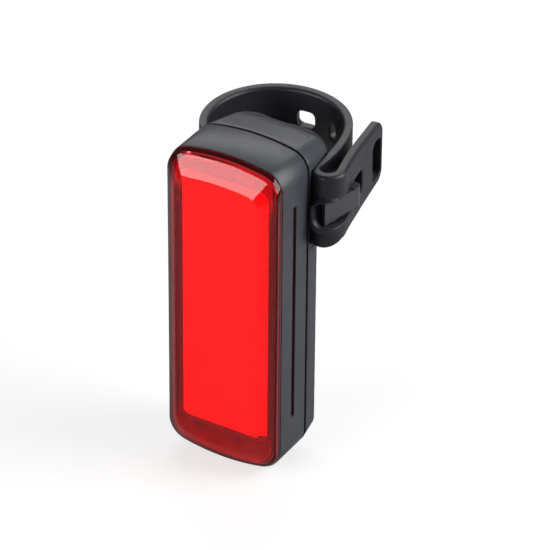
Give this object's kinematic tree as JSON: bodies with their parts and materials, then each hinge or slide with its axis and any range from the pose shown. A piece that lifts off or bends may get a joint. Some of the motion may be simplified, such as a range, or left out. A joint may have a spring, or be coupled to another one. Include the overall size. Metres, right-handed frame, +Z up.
{
  "type": "bicycle tail light",
  "caption": "Bicycle tail light: a tall red lens over a light panel, black case with rubber saddle, and a rubber strap hooked round a seat post.",
  "frame": {"origin": "bottom of the saddle pad's groove, where the seat post lies, level with the middle of the strap", "axes": "+Z up along the post, -Y the way the light shines, +X towards the strap's hook"},
  "size_m": [0.0405, 0.0471, 0.0793],
  "materials": {
    "lens_red": "clear red moulded lens, polished",
    "panel_red": "milky red light panel",
    "bezel_dark": "dark frame seen through the red lens",
    "seal_rubber": "thin black seal",
    "board_black": "black solder mask",
    "chip_amber": "light chips under clear resin",
    "housing_plastic": "black plastic with a fine spark-eroded grain",
    "window_red": "dark red clear strip",
    "button_rubber": "matte black rubber",
    "connector_plastic": "black moulding",
    "plunger_plastic": "white moulding",
    "bright_steel": "stainless steel",
    "dark_steel": "black steel screws",
    "battery_foil": "foil pouch",
    "foam_grey": "soft foam",
    "lead_sleeve": "sleeved leads",
    "plug_white": "white moulding",
    "flap_rubber": "matte black rubber",
    "pad_rubber": "matte black rubber",
    "strap_rubber": "satin silicone rubber, blue-black",
    "hook_plastic": "tough plastic with a soft gloss"
  },
  "bodies": {
    "light": {"lens_cover": "lens_red", "light_diffuser": "panel_red", "bezel_frame": "bezel_dark", "lens_seal": "seal_rubber", "rear_seal": "seal_rubber", "led_board": "board_black", "led_chips": "chip_amber", "front_housing": "housing_plastic", "side_window_left": "window_red", "side_window_right": "window_red", "tact_switch": "connector_plastic", "driver_board": "board_black", "driver_chips": "connector_plastic", "board_header": "connector_plastic", "socket_shell": "bright_steel", "socket_tongue": "connector_plastic", "battery_tray": "housing_plastic", "battery_cell": "battery_foil", "battery_foam": "foam_grey", "battery_leads": "lead_sleeve", "battery_plug": "plug_white", "rear_cover": "housing_plastic", "body_screws": "dark_steel", "cover_anchor": "flap_rubber", "saddle_pad": "pad_rubber", "strap": "strap_rubber", "strap_pin": "bright_steel", "strap_hook": "hook_plastic"},
    "button": {"power_button": "button_rubber"},
    "plunger": {"switch_plunger": "plunger_plastic"},
    "flap": {"port_cover": "flap_rubber"}
  },
  "joints": [
    {"name": "button_press", "type": "slide", "parent": "light", "child": "button", "axis": [0, 0, 1], "range_m": [0, 0.0006], "stiffness_N_per_m": 2000},
    {"name": "switch_travel", "type": "slide", "parent": "light", "child": "plunger", "axis": [0, 0, 1], "range_m": [0, 0.0006]},
    {"name": "port_cover_hinge", "type": "hinge", "parent": "light", "child": "flap", "pos_m": [0, -0.007, -0.0541], "axis": [-1, 0, 0], "range_deg": [0, 115], "stiffness_Nm_per_rad": 0.0006}
  ],
  "couplings": [
    {"joint": "switch_travel", "follows": "button_press", "ratio": 1}
  ]
}
